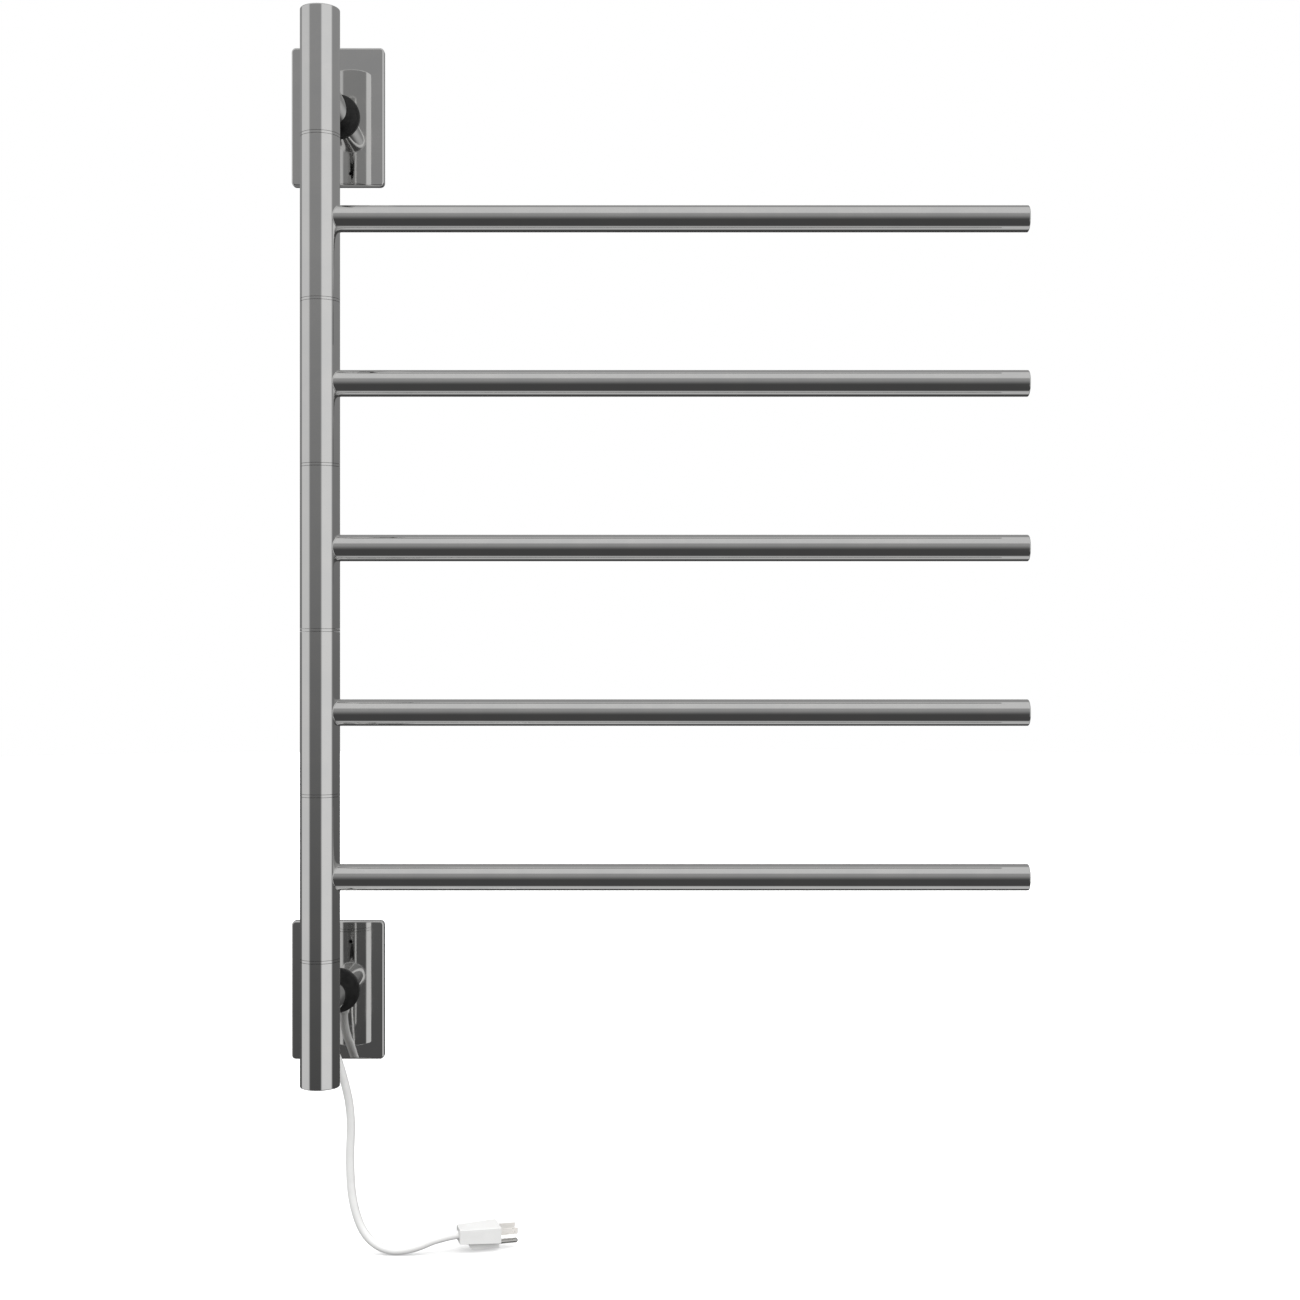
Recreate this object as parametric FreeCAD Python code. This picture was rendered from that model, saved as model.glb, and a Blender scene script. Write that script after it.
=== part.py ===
import FreeCAD, Part
import math
import os

# Wall-hung electric towel warmer: an upright post on two wall brackets carries
# five heated arms, one above the other, and each arm swivels about the post.
#
# Row frame, millimetres: +X along the arms at rest, +Y into the wall, +Z up.
# Y = 0 is the wall's face, X = 0 the post's axis, Z = 0 the middle arm's axis,
# so the origin is the centre of the four wall screws.

# ---- driving dimensions -------------------------------------------------
# post
POST_R = 19.0
POST_Y = -106.0
POST_HALF = 517.0
TUBE_WALL = 1.5
POST_EDGE = 1.2

# arms
ARM_COUNT = 5
ARM_PITCH = 158.0
ARM_REACH = 680.0
BAR_R = 12.7
BAR_EDGE = 1.0
LEAD_HOLE_R = 6.0

# spacer rings between the post's segments
RING_HEIGHT = 2.4
RING_GAP = 0.3
RING_EDGE = 0.35

# core that the sleeves turn on
CORE_R = 12.7
CORE_HALF = 420.0
BUSH_HEIGHT = 12.0
RUN_CLEARANCE = 0.05
WINDOW_HEIGHT = 16.0
WINDOW_WIDTH = 9.0

# clamp collars and set screws
COLLAR_Z = 406.5
COLLAR_HEIGHT = 18.0
SCREW_R = 2.05
SCREW_HOLE_R = 2.1
SCREW_SINK = 0.7
SOCKET_FLATS = 2.0
SOCKET_DEPTH = 2.0
SCREW_END_GAP = 0.02
STUB_SCREW_SINK = 0.2
STUB_SCREW_STANDOFF = 8.0

# wall brackets
BRACKET_Z = 443.0
PLATE_W = 94.0
PLATE_H = 140.6
PLATE_DEPTH = 7.5
PLATE_CORNER_R = 4.5
PLATE_EDGE = 2.0
PLATE_SHEET = 1.8
BASE_W = 86.0
BASE_H = 132.0
BASE_THICK = 4.0
WALL_SCREW_X = 28.0
WALL_SCREW_R = 2.75
SPIGOT_LENGTH = 30.0
SPIGOT_BORE_R = 9.0
STUB_R = 14.3
STUB_WALL = 1.5
GASKET_R = 22.5
GASKET_THICK = 3.5
GASKET_EDGE = 1.5
WIRE_HOLE_R = 9.0

# end caps
CAP_THICK = 3.0

# heating rods and their leads
HEATER_R = 4.0
HEATER_START = 34.0
HEATER_END = 664.0
COLLET_R = 11.15
COLLET_WIDTH = 4.0
COLLET_SHARES = (0.05, 0.5, 0.95)
LEAD_R = 0.9
LEAD_SPACING = 2.6
LEAD_BEND_R = 3.0
LEAD_RING_R = 15.1
LEAD_SWEEP = 70.0

# supply side
BLOCK_SIZE = (18.0, 14.0, 26.0)
BLOCK_SCREW_R = 1.6
BLOCK_SCREW_DEPTH = 3.0
BLOCK_SCREW_PITCH = 5.4
HARNESS_R = 3.0
BRANCH_R = 1.35
SUPPLY_R = 2.8
SUPPLY_START = 7.0
SUPPLY_BEND_R = 5.0
CUTOUT_R = 6.0
CUTOUT_LENGTH = 22.0
CUTOUT_PIN_R = 0.7
CUTOUT_PIN_X = 2.5

# power cord, as a route of points from the strain relief to the plug
CORD_R = 4.2
CORD_Y = -44.0
RELIEF_FLANGE_R = 7.4
RELIEF_FLANGE = 2.0
RELIEF_ROOT_R = 6.5
RELIEF_TIP_R = 5.4
RELIEF_HOLE_R = 5.9
RELIEF_NECK = 8.0
RELIEF_NECK_SINK = 1.0
RELIEF_BITE = 0.6
CORD_ROUTE = [
    (0.0, -44.0, -473.3),
    (0.0, -44.0, -489.5),
    (10.0, -44.0, -514.0),
    (20.6, -44.5, -558.0),
    (18.2, -45.5, -605.6),
    (21.4, -47.0, -648.5),
    (34.4, -48.5, -681.0),
    (57.8, -50.0, -694.5),
    (84.4, -50.8, -690.6),
    (106.0, -49.0, -681.1),
    (126.0, -43.2, -679.3),
]

# plug, three-pin, along its own axis
PLUG_YAW = 17.5
PLUG_DIP = 0.7
PLUG_ROLL = 2.8
PLUG_LENGTH = 41.0
PLUG_REAR = (19.0, 14.2)
PLUG_FACE = (27.5, 15.8)
PLUG_KEEL = 6.9
PLUG_KEEL_WIDTH = 11.0
PLUG_KEEL_START = 10.4
PLUG_EDGE = 1.5
BLADE_SPACING = 12.7
BLADE_THICK = 1.5
BLADE_LENGTH = 18.2
BLADE_ROOT = 9.0
BLADE_TIP_EDGE = 0.45
HOT_WIDTH = 6.35
NEUTRAL_WIDTH = 7.9
BLADE_RISE = 1.2
GROUND_DROP = 11.9
GROUND_R = 2.38
GROUND_LENGTH = 19.8

# ---- worked-out sizes ---------------------------------------------------
POST_BORE_R = POST_R - TUBE_WALL
BAR_BORE_R = BAR_R - TUBE_WALL
CORE_BORE_R = CORE_R - TUBE_WALL
STUB_BORE_R = STUB_R - STUB_WALL
SLEEVE_HEIGHT = ARM_PITCH - RING_HEIGHT - 2 * RING_GAP
ARM_HEIGHTS = [ARM_PITCH * (i - (ARM_COUNT - 1) / 2) for i in range(ARM_COUNT)]
RING_HEIGHTS = [ARM_PITCH * (i - ARM_COUNT / 2) for i in range(ARM_COUNT + 1)]
END_TUBE_START = RING_HEIGHTS[-1] + RING_HEIGHT / 2 + RING_GAP
STUB_SCREW_Y = -PLATE_DEPTH - GASKET_THICK - STUB_SCREW_STANDOFF
SIDES = {"lower": -1, "upper": 1}

X = FreeCAD.Vector(1, 0, 0)
Y = FreeCAD.Vector(0, 1, 0)
Z = FreeCAD.Vector(0, 0, 1)
V = FreeCAD.Vector


# ---- small tools --------------------------------------------------------
def save(name, *solids):
    """Write one node: a single solid, or a group of separate like solids."""
    shape = solids[0] if len(solids) == 1 else Part.makeCompound(list(solids))
    for solid in shape.Solids:
        if not solid.isValid():
            raise ValueError(name + " is not a valid solid")
    shape.exportStep("parts/" + name + ".step")


def tube(outer, inner, length, start, along=Z):
    """A round tube; inner = 0 makes a rod."""
    body = Part.makeCylinder(outer, length, start, along)
    if inner > 0:
        body = body.cut(Part.makeCylinder(inner, length, start, along))
    return body


def post_point(z):
    """The point on the post's axis at height z."""
    return V(0, POST_Y, z)


def round_edges(shape, radius, wanted):
    """Fillet every edge that the test picks."""
    edges = [edge for edge in shape.Edges if wanted(edge)]
    return shape.makeFillet(radius, edges)


def break_edges(shape, size, wanted):
    """Chamfer every edge that the test picks."""
    edges = [edge for edge in shape.Edges if wanted(edge)]
    return shape.makeChamfer(size, edges)


def is_circle(edge, radius):
    """True for a full or partial circle of this radius."""
    curve = edge.Curve
    return isinstance(curve, Part.Circle) and abs(curve.Radius - radius) < 1e-6


def hex_prism(flats, length, start, along):
    """A hexagonal bar, for the socket of a set screw."""
    corner = flats / math.sqrt(3)
    side = along.cross(Z)
    ring = []
    for i in range(7):
        turn = math.radians(60 * i)
        ring.append(start + side * (corner * math.cos(turn)) + Z * (corner * math.sin(turn)))
    return Part.Face(Part.makePolygon(ring)).extrude(along * length)


def set_screw(head, inward, length):
    """A socket set screw, from the middle of its outer face along inward."""
    body = Part.makeCylinder(SCREW_R, length, head, inward)
    return body.cut(hex_prism(SOCKET_FLATS, SOCKET_DEPTH, head, inward))


# ---- post: end tubes, caps, core and rings ------------------------------
def make_end_tube(sign):
    """The fixed end of the post, with its set-screw hole facing the wall."""
    low = END_TUBE_START if sign > 0 else -POST_HALF
    body = tube(POST_R, POST_BORE_R, POST_HALF - END_TUBE_START, post_point(low))
    outer_end = sign * POST_HALF
    inner_end = sign * END_TUBE_START
    body = round_edges(
        body, POST_EDGE,
        lambda e: is_circle(e, POST_R) and abs(e.Curve.Center.z - outer_end) < 1e-6)
    body = break_edges(
        body, RING_EDGE,
        lambda e: is_circle(e, POST_R) and abs(e.Curve.Center.z - inner_end) < 1e-6)
    hole = Part.makeCylinder(SCREW_HOLE_R, POST_R + 1, post_point(sign * COLLAR_Z), Y)
    wires = Part.makeCylinder(WIRE_HOLE_R, POST_R + 1, post_point(sign * BRACKET_Z), Y)
    return body.cut(hole).cut(wires)


def make_post_cap(sign):
    """A disc pressed into the end of the post, flush with its end."""
    low = POST_HALF - CAP_THICK if sign > 0 else -POST_HALF
    return tube(POST_BORE_R, 0, CAP_THICK, post_point(low))


def make_core():
    """The inner tube the sleeves turn on, with a wire window behind each arm."""
    core = tube(CORE_R, CORE_BORE_R, 2 * CORE_HALF, post_point(-CORE_HALF))
    for height in ARM_HEIGHTS:
        corner = V(-WINDOW_WIDTH / 2, POST_Y, height - WINDOW_HEIGHT / 2)
        core = core.cut(Part.makeBox(WINDOW_WIDTH, CORE_R + 1, WINDOW_HEIGHT, corner))
    return core


def make_collar(sign):
    """The steel collar that the set screw pulls against the core."""
    low = sign * COLLAR_Z - COLLAR_HEIGHT / 2
    body = tube(POST_BORE_R, CORE_R, COLLAR_HEIGHT, post_point(low))
    hole = Part.makeCylinder(SCREW_HOLE_R, POST_R, post_point(sign * COLLAR_Z), Y)
    return body.cut(hole)


def make_ring(height):
    """A chromed ring that carries the sleeve above it."""
    body = tube(POST_R, CORE_R, RING_HEIGHT, post_point(height - RING_HEIGHT / 2))
    return break_edges(body, RING_EDGE, lambda e: is_circle(e, POST_R))


# ---- one swivelling arm -------------------------------------------------
def make_sleeve(height):
    """The arm's own length of post, drilled where the bar is welded on."""
    body = tube(POST_R, POST_BORE_R, SLEEVE_HEIGHT, post_point(height - SLEEVE_HEIGHT / 2))
    body = break_edges(body, RING_EDGE, lambda e: is_circle(e, POST_R))
    return body.cut(Part.makeCylinder(LEAD_HOLE_R, POST_R + 1, post_point(height), X))


def make_bar(height):
    """The heated bar, cut to the sleeve's curve at its root."""
    body = tube(BAR_R, BAR_BORE_R, ARM_REACH, post_point(height), X)
    body = round_edges(
        body, BAR_EDGE,
        lambda e: is_circle(e, BAR_R) and e.Curve.Center.x > ARM_REACH / 2)
    sleeve_space = Part.makeCylinder(POST_R, 4 * BAR_R, post_point(height - 2 * BAR_R))
    return body.cut(sleeve_space)


def make_bar_cap(height):
    """A disc pressed into the bar's free end."""
    start = post_point(height) + X * (ARM_REACH - CAP_THICK)
    return tube(BAR_BORE_R, 0, CAP_THICK, start, X)


def make_bushes(height):
    """Two nylon bushes, one at each end of the sleeve."""
    lows = (height - SLEEVE_HEIGHT / 2, height + SLEEVE_HEIGHT / 2 - BUSH_HEIGHT)
    bore = CORE_R + RUN_CLEARANCE
    return [tube(POST_BORE_R, bore, BUSH_HEIGHT, post_point(low)) for low in lows]


def make_heater(height):
    """A heating rod with three collets that centre it in the bar."""
    start = post_point(height) + X * HEATER_START
    rod = tube(HEATER_R, 0, HEATER_END - HEATER_START, start, X)
    span = HEATER_END - HEATER_START - 2 * COLLET_WIDTH
    for share in COLLET_SHARES:
        at = start + X * (COLLET_WIDTH + span * share)
        rod = rod.fuse(tube(COLLET_R, 0, COLLET_WIDTH, at, X))
    return rod.removeSplitter()


def make_leads(height):
    """Two wires from the rod's end, laid round the core as a slack loop."""
    reach = LEAD_RING_R + LEAD_BEND_R
    bend_x = math.sqrt(reach ** 2 - LEAD_BEND_R ** 2)
    first = math.degrees(math.atan2(LEAD_BEND_R, bend_x))
    wires = []
    for side in (-1, 1):
        middle = V(0, POST_Y, height + side * LEAD_SPACING / 2)

        def at(radius, degrees):
            turn = math.radians(degrees)
            return middle + V(radius * math.cos(turn), radius * math.sin(turn), 0)

        bend = middle + V(bend_x, LEAD_BEND_R, 0)
        bend_mid = math.radians((-90 + first + 180) / 2 - 180)
        start = middle + X * HEATER_START
        turn_in = middle + X * bend_x
        on_bend = bend + V(LEAD_BEND_R * math.cos(bend_mid), LEAD_BEND_R * math.sin(bend_mid), 0)
        path = Part.Wire([
            Part.LineSegment(start, turn_in).toShape(),
            Part.Arc(turn_in, on_bend, at(LEAD_RING_R, first)).toShape(),
            Part.Arc(at(LEAD_RING_R, first), at(LEAD_RING_R, first + LEAD_SWEEP / 2),
                     at(LEAD_RING_R, first + LEAD_SWEEP)).toShape(),
        ])
        wires.append(sweep(path, start, X * -1, LEAD_R))
    return wires


def sweep(path, start, direction, radius):
    """A round section carried along a path of tangent lines and arcs."""
    circle = Part.Circle(start, direction, radius).toShape()
    return path.makePipeShell([Part.Wire([circle])], True, False)


# ---- wall brackets ------------------------------------------------------
def make_base_plate(sign):
    """The plate screwed to the wall, with the spigot that the stub slides on."""
    height = sign * BRACKET_Z
    body = Part.makeBox(BASE_W, BASE_THICK, BASE_H,
                        V(-BASE_W / 2, -BASE_THICK, height - BASE_H / 2))
    out = Y * -1
    bottom = V(0, 0, height)
    spigot = Part.makeCylinder(STUB_BORE_R, BASE_THICK + SPIGOT_LENGTH, bottom, out)
    body = body.fuse(spigot).removeSplitter()
    body = body.cut(Part.makeCylinder(SPIGOT_BORE_R, BASE_THICK + SPIGOT_LENGTH, bottom, out))
    for side in (-1, 1):
        hole = V(side * WALL_SCREW_X, 0, height)
        body = body.cut(Part.makeCylinder(WALL_SCREW_R, BASE_THICK, hole, out))
    return body.cut(stub_screw_hole(height))


def stub_screw_hole(height):
    """The hole for the set screw that locks the stub to its spigot."""
    start = V(0, STUB_SCREW_Y, height)
    return Part.makeCylinder(SCREW_HOLE_R, STUB_R + 1, start, X * -1)


def make_cover_plate(sign):
    """A pressed chromed cover, open at the back, with rounded front edges."""
    height = sign * BRACKET_Z

    def block(inset, depth, corner):
        width = PLATE_W - 2 * inset
        tall = PLATE_H - 2 * inset
        box = Part.makeBox(width, depth, tall, V(-width / 2, -depth, height - tall / 2))
        return round_edges(
            box, corner,
            lambda e: abs(e.Vertexes[0].X - e.Vertexes[-1].X) < 1e-6
            and abs(e.Vertexes[0].Z - e.Vertexes[-1].Z) < 1e-6)

    outside = block(0, PLATE_DEPTH, PLATE_CORNER_R)
    outside = round_edges(
        outside, PLATE_EDGE, lambda e: e.BoundBox.YMax < -PLATE_DEPTH + 1e-3)
    inside = block(PLATE_SHEET, PLATE_DEPTH - PLATE_SHEET, PLATE_CORNER_R - PLATE_SHEET)
    hole = Part.makeCylinder(STUB_R + RING_GAP, PLATE_DEPTH, V(0, 0, height), Y * -1)
    return outside.cut(inside).cut(hole)


def make_gasket(sign):
    """A rubber ring that grips the stub and presses the cover to the wall."""
    start = V(0, -PLATE_DEPTH, sign * BRACKET_Z)
    body = tube(GASKET_R, STUB_R, GASKET_THICK, start, Y * -1)
    front = -PLATE_DEPTH - GASKET_THICK
    return round_edges(
        body, GASKET_EDGE,
        lambda e: is_circle(e, GASKET_R) and abs(e.Curve.Center.y - front) < 1e-6)


def make_stub(sign):
    """The arm of the bracket, from the base plate to the back of the post."""
    height = sign * BRACKET_Z
    length = -POST_Y - BASE_THICK
    body = tube(STUB_R, STUB_BORE_R, length, V(0, -BASE_THICK, height), Y * -1)
    post_space = Part.makeCylinder(POST_R, 4 * STUB_R, post_point(height - 2 * STUB_R))
    body = body.cut(post_space)
    # the half of the tube in front of the post's axis is not part of the stub
    front = Part.makeBox(4 * STUB_R, 2 * POST_R, 4 * STUB_R,
                         V(-2 * STUB_R, POST_Y - 2 * POST_R, height - 2 * STUB_R))
    body = body.cut(front).cut(stub_screw_hole(height))
    if sign < 0:
        hole = Part.makeCylinder(RELIEF_HOLE_R, STUB_R + 1, V(0, CORD_Y, height), Z * -1)
        body = body.cut(hole)
    return body


def make_set_screws():
    """Four alike: two clamp the post to its core, two lock the stubs."""
    screws = []
    for sign in SIDES.values():
        head = V(0, POST_Y + POST_R - SCREW_SINK, sign * COLLAR_Z)
        length = POST_R - SCREW_SINK - CORE_R - SCREW_END_GAP
        screws.append(set_screw(head, Y * -1, length))
        head = V(-STUB_R + STUB_SCREW_SINK, STUB_SCREW_Y, sign * BRACKET_Z)
        screws.append(set_screw(head, X, STUB_R - STUB_SCREW_SINK - SPIGOT_BORE_R))
    return screws


# ---- supply: strain relief, cord, wiring, plug --------------------------
def make_strain_relief():
    """A tapered white bush that holds the cord in the stub's underside."""
    seat = V(0, CORD_Y, -BRACKET_Z - STUB_R)
    spread = STUB_R - math.sqrt(STUB_R ** 2 - RELIEF_FLANGE_R ** 2)
    flange_low = seat - Z * RELIEF_FLANGE
    flange = Part.makeCylinder(RELIEF_FLANGE_R, RELIEF_FLANGE + spread, flange_low)
    flange = flange.cut(Part.makeCylinder(
        STUB_R, 4 * STUB_R, V(0, CORD_Y - 2 * STUB_R, -BRACKET_Z), Y))
    neck = Part.makeCylinder(RELIEF_HOLE_R, RELIEF_NECK, seat - Z * RELIEF_NECK_SINK)
    tip = V(*CORD_ROUTE[0])
    taper = flange_low.z - tip.z
    sleeve = Part.makeCone(RELIEF_TIP_R, RELIEF_ROOT_R, taper, tip)
    body = flange.fuse(neck).fuse(sleeve).removeSplitter()
    inner = taper + RELIEF_FLANGE + RELIEF_NECK
    return body.cut(Part.makeCylinder(CORD_R - RELIEF_BITE, inner, tip))


def round_route(points):
    """Straight runs joined by tangent arcs; returns the wire and its radii."""
    edges = []
    radii = []
    last = V(*points[0])
    for before, here, after in zip(points, points[1:], points[2:]):
        corner = V(*here)
        back = V(*before) - corner
        ahead = V(*after) - corner
        turn = math.pi - back.getAngle(ahead)
        cut = 0.45 * min(back.Length, ahead.Length)
        radius = cut / math.tan(turn / 2)
        radii.append(radius)
        back.normalize()
        ahead.normalize()
        inward = (back + ahead).normalize()
        arc_in = corner + back * cut
        arc_out = corner + ahead * cut
        middle = corner + inward * (radius / math.cos(turn / 2) - radius)
        edges.append(Part.LineSegment(last, arc_in).toShape())
        edges.append(Part.Arc(arc_in, middle, arc_out).toShape())
        last = arc_out
    edges.append(Part.LineSegment(last, V(*points[-1])).toShape())
    return Part.Wire(edges), radii


def make_cord():
    """The free cord, from the strain relief to the plug."""
    path, radii = round_route(CORD_ROUTE)
    start = V(*CORD_ROUTE[0])
    direction = V(*CORD_ROUTE[1]) - start
    cord = sweep(path, start, direction, CORD_R)
    expected = math.pi * CORD_R ** 2 * path.Length
    print("cord length", round(path.Length, 1), "mm, arc radii",
          [round(radius, 1) for radius in radii])
    print("cord volume", round(cord.Volume), "expected", round(expected))
    return cord


def make_core_wiring():
    """The supply cable in the stub, and the harness up the core."""
    stub_z = -BRACKET_Z
    bend = SUPPLY_BEND_R
    low_end = V(0, CORD_Y, stub_z - STUB_R + SUPPLY_START)
    block_face = V(0, POST_Y + BLOCK_SIZE[1] / 2, stub_z)
    riser = V(0, CORD_Y, stub_z - bend)
    run = V(0, CORD_Y - bend, stub_z)
    near_corner = bend * (1 - math.sqrt(0.5))
    elbow = V(0, CORD_Y - near_corner, stub_z - near_corner)
    path = Part.Wire([
        Part.LineSegment(low_end, riser).toShape(),
        Part.Arc(riser, elbow, run).toShape(),
        Part.LineSegment(run, block_face).toShape(),
    ])
    supply = sweep(path, low_end, Z, SUPPLY_R)
    low = stub_z + BLOCK_SIZE[2] / 2
    harness = tube(HARNESS_R, 0, ARM_HEIGHTS[-1] + HARNESS_R - low, post_point(low))
    for height in ARM_HEIGHTS:
        branch = Part.makeCylinder(BRANCH_R, CORE_BORE_R + 1, post_point(height), Y)
        harness = harness.fuse(branch)
    return [supply, harness.removeSplitter()]


def make_terminal_block():
    """The block where the cord's wires meet the harness."""
    wide, deep, tall = BLOCK_SIZE
    corner = post_point(-BRACKET_Z) - V(wide / 2, deep / 2, tall / 2)
    body = Part.makeBox(wide, deep, tall, corner)
    for side in (-1, 0, 1):
        screw = post_point(-BRACKET_Z) + V(side * BLOCK_SCREW_PITCH, -deep / 2, tall / 4)
        body = body.cut(Part.makeCylinder(BLOCK_SCREW_R, BLOCK_SCREW_DEPTH, screw, Y))
    return body


def make_cutout():
    """The thermal cut-out, standing on the cap under the terminal block."""
    low = post_point(-POST_HALF + CAP_THICK)
    can = Part.makeCylinder(CUTOUT_R, CUTOUT_LENGTH, low)
    pins = []
    top = -BRACKET_Z - BLOCK_SIZE[2] / 2
    for side in (-1, 1):
        start = low + X * (side * CUTOUT_PIN_X) + Z * (CUTOUT_LENGTH - 1)
        pins.append(Part.makeCylinder(CUTOUT_PIN_R, top - start.z, start))
    return can.fuse(pins[0]).fuse(pins[1]).removeSplitter()


def plug_placement():
    """Puts the plug's own axis (+X, from its cord end) at the cord's end."""
    yaw = FreeCAD.Rotation(Z, PLUG_YAW)
    dip = FreeCAD.Rotation(Y, PLUG_DIP)
    roll = FreeCAD.Rotation(X, PLUG_ROLL)
    return FreeCAD.Placement(V(*CORD_ROUTE[-1]), yaw.multiply(dip).multiply(roll))


def blade(width, side, length, root):
    """One flat blade, from its root in the plug to a tapered tip."""
    start = PLUG_LENGTH - root
    low = BLADE_RISE - width / 2
    near = side * BLADE_SPACING / 2 - BLADE_THICK / 2
    body = Part.makeBox(root + length, BLADE_THICK, width, V(start, near, low))
    tip = PLUG_LENGTH + length
    return break_edges(
        body, BLADE_TIP_EDGE,
        lambda e: e.BoundBox.XMin > tip - 1e-6 and e.Length > BLADE_THICK + 1)


def ground_pin(length, root):
    """The round earth pin, with a domed tip."""
    low = BLADE_RISE - GROUND_DROP
    start = V(PLUG_LENGTH - root, 0, low)
    rod = Part.makeCylinder(GROUND_R, root + length - GROUND_R, start, X)
    dome = Part.makeSphere(GROUND_R, V(PLUG_LENGTH + length - GROUND_R, 0, low))
    return rod.fuse(dome).removeSplitter()


def make_plug_body():
    """The moulded body: a block that widens to its face, over a keel for the earth pin."""
    ends = []
    for x, (width, height) in ((0, PLUG_REAR), (PLUG_LENGTH, PLUG_FACE)):
        signs = ((-1, -1), (1, -1), (1, 1), (-1, 1), (-1, -1))
        ends.append(Part.makePolygon(
            [V(x, side * width / 2, rise * height / 2) for side, rise in signs]))
    block = Part.makeLoft(ends, True, True)
    block = round_edges(block, PLUG_EDGE, lambda e: e.Length > PLUG_LENGTH - 1)
    low = -PLUG_FACE[1] / 2 - PLUG_KEEL
    half = PLUG_KEEL_WIDTH / 2
    profile = Part.makePolygon([
        V(PLUG_KEEL_START, 0, 0),
        V(PLUG_KEEL_START, 0, low + PLUG_KEEL),
        V(PLUG_KEEL_START + PLUG_KEEL, 0, low),
        V(PLUG_LENGTH, 0, low),
        V(PLUG_LENGTH, 0, 0),
        V(PLUG_KEEL_START, 0, 0),
    ])
    keel = Part.Face(profile).extrude(Y * PLUG_KEEL_WIDTH)
    keel.translate(Y * -half)
    keel = round_edges(keel, PLUG_EDGE, lambda e: e.BoundBox.ZMax < low + 1e-6
                       and e.BoundBox.YLength < 1e-6)
    body = block.fuse(keel).removeSplitter()
    for width, side in ((HOT_WIDTH, -1), (NEUTRAL_WIDTH, 1)):
        body = body.cut(Part.makeBox(BLADE_ROOT, BLADE_THICK, width, V(
            PLUG_LENGTH - BLADE_ROOT, side * BLADE_SPACING / 2 - BLADE_THICK / 2,
            BLADE_RISE - width / 2)))
    socket = V(PLUG_LENGTH - BLADE_ROOT, 0, BLADE_RISE - GROUND_DROP)
    return body.cut(Part.makeCylinder(GROUND_R, BLADE_ROOT, socket, X))


def placed(shape):
    """A plug piece moved from its own axis to its place on the cord."""
    shape.Placement = plug_placement().multiply(shape.Placement)
    return shape


os.makedirs("parts", exist_ok=True)

for name, sign in SIDES.items():
    save(name + "_base_plate", make_base_plate(sign))
    save(name + "_cover_plate", make_cover_plate(sign))
    save(name + "_gasket", make_gasket(sign))
    save(name + "_stub", make_stub(sign))
    save(name + "_post_tube", make_end_tube(sign))
    save(name + "_post_cap", make_post_cap(sign))

save("core_tube", make_core())
save("core_collars", *[make_collar(sign) for sign in SIDES.values()])
save("set_screws", *make_set_screws())
for number, height in enumerate(RING_HEIGHTS, 1):
    save("spacer_ring_%d" % number, make_ring(height))

for number, height in enumerate(ARM_HEIGHTS, 1):
    arm = "arm_%d_" % number
    save(arm + "sleeve", make_sleeve(height))
    save(arm + "bar", make_bar(height))
    save(arm + "end_cap", make_bar_cap(height))
    save(arm + "bushes", *make_bushes(height))
    save(arm + "heater", make_heater(height))
    save(arm + "leads", *make_leads(height))

save("terminal_block", make_terminal_block())
save("thermal_cutout", make_cutout())
save("core_wiring", *make_core_wiring())
save("cord_strain_relief", make_strain_relief())
plug_body = placed(make_plug_body())
save("power_cord", make_cord().cut(plug_body))
save("plug_body", plug_body)
save("plug_blades", placed(blade(HOT_WIDTH, -1, BLADE_LENGTH, BLADE_ROOT)),
     placed(blade(NEUTRAL_WIDTH, 1, BLADE_LENGTH, BLADE_ROOT)))
save("plug_ground_pin", placed(ground_pin(GROUND_LENGTH, BLADE_ROOT)))
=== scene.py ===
import bmesh
import bpy
import math
from mathutils import Matrix, Vector


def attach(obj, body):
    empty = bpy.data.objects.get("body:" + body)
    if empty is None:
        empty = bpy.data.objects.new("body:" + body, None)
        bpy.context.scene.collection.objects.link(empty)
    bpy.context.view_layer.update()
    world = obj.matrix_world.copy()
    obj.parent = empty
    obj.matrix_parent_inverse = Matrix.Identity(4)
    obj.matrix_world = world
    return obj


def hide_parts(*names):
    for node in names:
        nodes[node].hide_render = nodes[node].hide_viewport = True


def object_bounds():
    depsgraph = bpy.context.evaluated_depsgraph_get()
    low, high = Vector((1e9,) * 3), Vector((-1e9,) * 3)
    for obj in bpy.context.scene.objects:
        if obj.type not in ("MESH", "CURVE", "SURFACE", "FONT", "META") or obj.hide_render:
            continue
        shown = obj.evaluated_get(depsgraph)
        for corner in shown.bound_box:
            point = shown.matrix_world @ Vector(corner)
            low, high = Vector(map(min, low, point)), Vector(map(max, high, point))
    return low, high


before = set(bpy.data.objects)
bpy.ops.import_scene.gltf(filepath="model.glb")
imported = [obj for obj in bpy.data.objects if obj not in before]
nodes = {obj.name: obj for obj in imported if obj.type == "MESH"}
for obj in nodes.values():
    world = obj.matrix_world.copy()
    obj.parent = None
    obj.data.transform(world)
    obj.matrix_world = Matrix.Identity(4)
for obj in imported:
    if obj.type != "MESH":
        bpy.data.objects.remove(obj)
cad_box = [list(corner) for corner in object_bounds()]
scene = bpy.context.scene
bpy.ops.object.select_all(action="DESELECT")

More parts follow.
